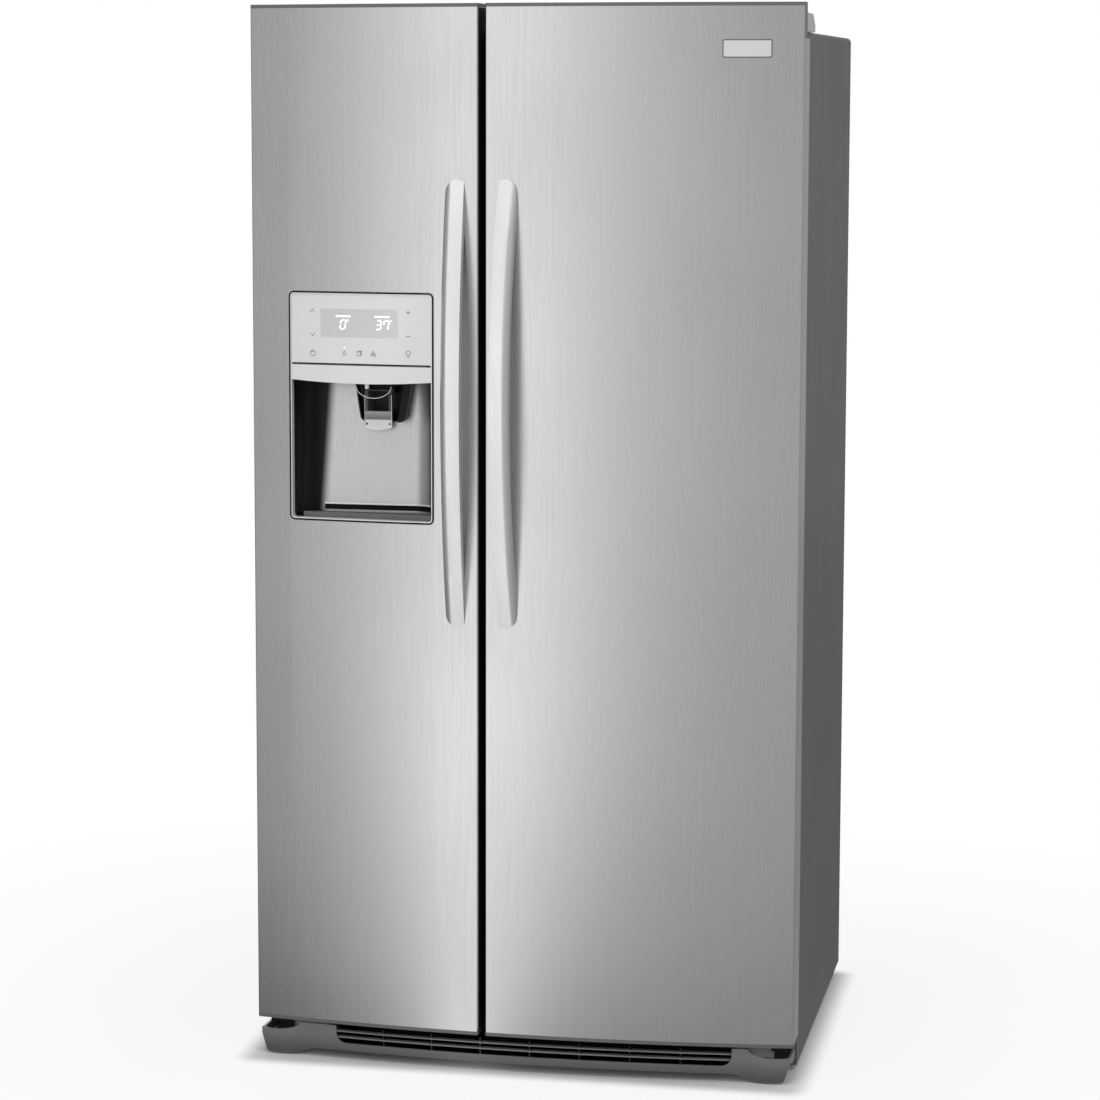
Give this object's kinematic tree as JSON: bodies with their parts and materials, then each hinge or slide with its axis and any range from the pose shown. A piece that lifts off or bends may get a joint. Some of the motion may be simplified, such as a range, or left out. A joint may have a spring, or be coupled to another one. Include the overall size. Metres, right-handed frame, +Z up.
{
  "type": "side by side refrigerator",
  "caption": "Tall side by side refrigerator with bowed steel doors, arched handles, a door dispenser for ice and water, drawers, shelves and a rear machine compartment.",
  "frame": {"origin": "on the floor under the middle of the outline of the closed refrigerator", "axes": "+Z up, the doors face -Y, +X towards the fresh food door"},
  "size_m": [0.918, 0.8611, 1.775],
  "materials": {
    "stainless": "brushed, bowed",
    "charcoal_steel": "fine textured paint",
    "galvanised": "galvanised sheet",
    "foam": "rigid foam",
    "white_liner": "smooth moulded",
    "white_plastic": "satin moulded",
    "grey_plastic": "satin moulded",
    "silver_plastic": "metallic paint",
    "black_plastic": "satin moulded",
    "black_steel": "black paint",
    "dark_steel": "dark zinc plate",
    "clear_plastic": "clear moulded",
    "glass": "clear tempered",
    "rubber": "soft grey",
    "aluminium": "bare",
    "blue_plastic": "moulded",
    "handle_metal": "satin"
  },
  "bodies": {
    "cabinet": {"outer_cabinet": "charcoal_steel", "rear_panel": "galvanised", "cabinet_foam": "foam", "freezer_liner": "white_liner", "fresh_food_liner": "white_liner", "centre_mullion": "silver_plastic", "base_pan": "galvanised", "toe_grille": "grey_plastic", "compressor": "black_steel", "condenser_coil": "black_steel", "fan_shroud": "white_plastic", "drain_pan": "black_plastic", "machine_cover": "black_plastic", "water_valve": "blue_plastic", "roller_brackets": "galvanised", "top_hinges": "dark_steel", "hinge_covers": "grey_plastic", "bottom_hinges": "dark_steel", "evaporator_cover": "white_plastic", "evaporator_coil": "aluminium", "ice_maker": "aluminium", "shelf_frames": "white_plastic", "shelf_glass": "glass", "shelf_tracks": "white_plastic", "control_housing": "white_plastic"},
    "freezer_door": {"freezer_door_skin": "stainless", "freezer_door_foam": "foam", "freezer_door_liner": "white_liner", "freezer_door_caps": "grey_plastic", "freezer_door_seal": "rubber", "freezer_door_bins": "clear_plastic", "freezer_handle": "handle_metal", "dispenser_housing": "silver_plastic", "dispenser_trim": "silver_plastic", "control_panel": "silver_plastic", "dispenser_hood": "black_plastic", "ice_ring": "clear_plastic"},
    "fresh_food_door": {"fresh_door_skin": "stainless", "fresh_door_foam": "foam", "fresh_door_liner": "white_liner", "fresh_door_caps": "grey_plastic", "fresh_door_seal": "rubber", "fresh_door_bins": "clear_plastic", "fresh_handle": "handle_metal"},
    "paddle": {"dispenser_paddle": "clear_plastic"},
    "flap": {"ice_flap": "black_plastic"},
    "tray": {"drip_tray": "grey_plastic"},
    "dairy_lid": {"dairy_cover": "clear_plastic"},
    "bucket": {"ice_bucket": "clear_plastic"},
    "auger": {"ice_auger": "aluminium"},
    "upper_basket": {"freezer_basket_upper": "white_plastic"},
    "lower_basket": {"freezer_basket_lower": "white_plastic"},
    "upper_crisper": {"crisper_upper": "clear_plastic"},
    "lower_crisper": {"crisper_lower": "clear_plastic"},
    "machine_fan": {"condenser_fan": "white_plastic"},
    "cold_fan": {"evaporator_fan": "white_plastic"},
    "front_wheels": {"front_rollers": "black_plastic"},
    "rear_wheels": {"rear_rollers": "black_plastic"},
    "legs": {"levelling_legs": "dark_steel"},
    "switches": {"door_switches": "white_plastic"}
  },
  "joints": [
    {"name": "freezer_door_hinge", "type": "hinge", "parent": "cabinet", "child": "freezer_door", "pos_m": [-0.445, -0.28145, 0.9], "axis": [0, 0, -1], "range_deg": [0, 130]},
    {"name": "fresh_food_door_hinge", "type": "hinge", "parent": "cabinet", "child": "fresh_food_door", "pos_m": [0.445, -0.28145, 0.9], "axis": [0, 0, 1], "range_deg": [0, 130]},
    {"name": "paddle_pivot", "type": "hinge", "parent": "freezer_door", "child": "paddle", "pos_m": [-0.25, -0.30406, 1.139], "axis": [1, 0, 0], "range_deg": [0, 9], "stiffness_Nm_per_rad": 0.15, "springref_deg": -5.73},
    {"name": "flap_pivot", "type": "hinge", "parent": "freezer_door", "child": "flap", "pos_m": [-0.25, -0.28216, 1.21225], "axis": [1, 0, 0], "range_deg": [0, 45], "stiffness_Nm_per_rad": 0.2, "springref_deg": -11.46},
    {"name": "tray_lift", "type": "slide", "parent": "freezer_door", "child": "tray", "axis": [0, 0, 1], "range_m": [0, 0.03]},
    {"name": "dairy_lid_pivot", "type": "hinge", "parent": "fresh_food_door", "child": "dairy_lid", "pos_m": [0.1908, -0.18145, 1.616], "axis": [1, 0, 0], "range_deg": [0, 70]},
    {"name": "bucket_slide", "type": "slide", "parent": "cabinet", "child": "bucket", "axis": [0, -1, 0], "range_m": [0, 0.055]},
    {"name": "auger_spin", "type": "hinge", "parent": "bucket", "child": "auger", "pos_m": [-0.25, 0, 1.3518], "axis": [0, -1, 0], "continuous": true},
    {"name": "upper_basket_slide", "type": "slide", "parent": "cabinet", "child": "upper_basket", "axis": [0, -1, 0], "range_m": [0, 0.125]},
    {"name": "lower_basket_slide", "type": "slide", "parent": "cabinet", "child": "lower_basket", "axis": [0, -1, 0], "range_m": [0, 0.125]},
    {"name": "upper_crisper_slide", "type": "slide", "parent": "cabinet", "child": "upper_crisper", "axis": [0, -1, 0], "range_m": [0, 0.11]},
    {"name": "lower_crisper_slide", "type": "slide", "parent": "cabinet", "child": "lower_crisper", "axis": [0, -1, 0], "range_m": [0, 0.11]},
    {"name": "machine_fan_spin", "type": "hinge", "parent": "cabinet", "child": "machine_fan", "pos_m": [0.066, 0.32055, 0.122], "axis": [1, 0, 0], "continuous": true},
    {"name": "cold_fan_spin", "type": "hinge", "parent": "cabinet", "child": "cold_fan", "pos_m": [-0.2522, 0.32855, 1.172], "axis": [0, 1, 0], "continuous": true},
    {"name": "front_roller_spin", "type": "hinge", "parent": "cabinet", "child": "front_wheels", "pos_m": [0, -0.16945, 0.018], "axis": [1, 0, 0], "continuous": true},
    {"name": "rear_roller_spin", "type": "hinge", "parent": "cabinet", "child": "rear_wheels", "pos_m": [0, 0.36855, 0.018], "axis": [1, 0, 0], "continuous": true},
    {"name": "leg_adjust", "type": "slide", "parent": "cabinet", "child": "legs", "axis": [0, 0, 1], "range_m": [0, 0.012]},
    {"name": "switch_press", "type": "slide", "parent": "cabinet", "child": "switches", "axis": [0, 1, 0], "range_m": [0, 0.004], "stiffness_N_per_m": 200, "springref_m": -0.002}
  ]
}
